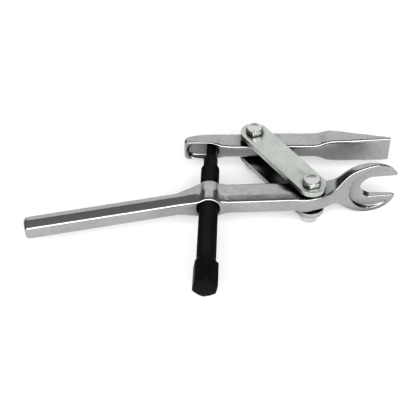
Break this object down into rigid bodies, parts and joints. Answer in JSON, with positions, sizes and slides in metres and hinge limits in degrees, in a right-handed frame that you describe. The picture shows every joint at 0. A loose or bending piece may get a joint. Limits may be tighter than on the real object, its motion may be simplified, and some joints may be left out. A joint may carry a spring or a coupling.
{
  "type": "ball joint separator",
  "caption": "Lever-type ball joint separator: an open fork arm and a wedge pressure arm joined by link plates, closed by a black forcing screw.",
  "frame": {"origin": "centre of the fork slot's round end, halfway through the wall around it", "axes": "+X from the handle to the fork's tips, +Y along the forcing screw towards its nose, +Z along the pivot bolts towards their heads"},
  "size_m": [0.3131, 0.186, 0.0526],
  "materials": {
    "satin_forging": "satin-chromed drop forging",
    "zinc_plate": "light grey zinc on punched plate",
    "bright_zinc": "bright zinc",
    "black_oxide": "black oxide, lightly oiled",
    "spring_steel": "plain spring steel",
    "nylon": "natural nylon"
  },
  "bodies": {
    "main_arm": {"main_arm": "satin_forging"},
    "links": {"upper_link_plate": "zinc_plate", "lower_link_plate": "zinc_plate", "fork_pivot_bolt": "bright_zinc", "fork_pivot_washer": "bright_zinc", "fork_pivot_nut": "bright_zinc", "fork_pivot_nut_insert": "nylon", "pressure_pivot_bolt": "bright_zinc", "pressure_pivot_washer": "bright_zinc", "pressure_pivot_nut": "bright_zinc", "pressure_pivot_nut_insert": "nylon"},
    "pressure_arm": {"pressure_arm": "satin_forging"},
    "thrust_pin": {"thrust_pin": "black_oxide"},
    "forcing_screw": {"forcing_screw": "black_oxide", "thrust_pin_ring": "spring_steel"}
  },
  "joints": [
    {"name": "link_swing", "type": "hinge", "parent": "main_arm", "child": "links", "pos_m": [-0.054, -0.0157, 0], "axis": [0, 0, 1], "range_deg": [-8, 0]},
    {"name": "pressure_arm_pivot", "type": "hinge", "parent": "links", "child": "pressure_arm", "pos_m": [-0.1017, 0.0514, 0], "axis": [0, 0, 1], "range_deg": [-11.7, 17.5]},
    {"name": "screw_feed", "type": "slide", "parent": "main_arm", "child": "thrust_pin", "axis": [0, 1, 0], "range_m": [-0.012, 0.008]},
    {"name": "screw_turn", "type": "hinge", "parent": "thrust_pin", "child": "forcing_screw", "pos_m": [-0.14, -0.022, 0], "axis": [0, 1, 0], "range_deg": [-2900, 1940]}
  ],
  "couplings": [
    {"joint": "pressure_arm_pivot", "follows": "screw_feed", "rad_per_m": -25.2},
    {"joint": "screw_turn", "follows": "screw_feed", "rad_per_m": 4188.8}
  ]
}
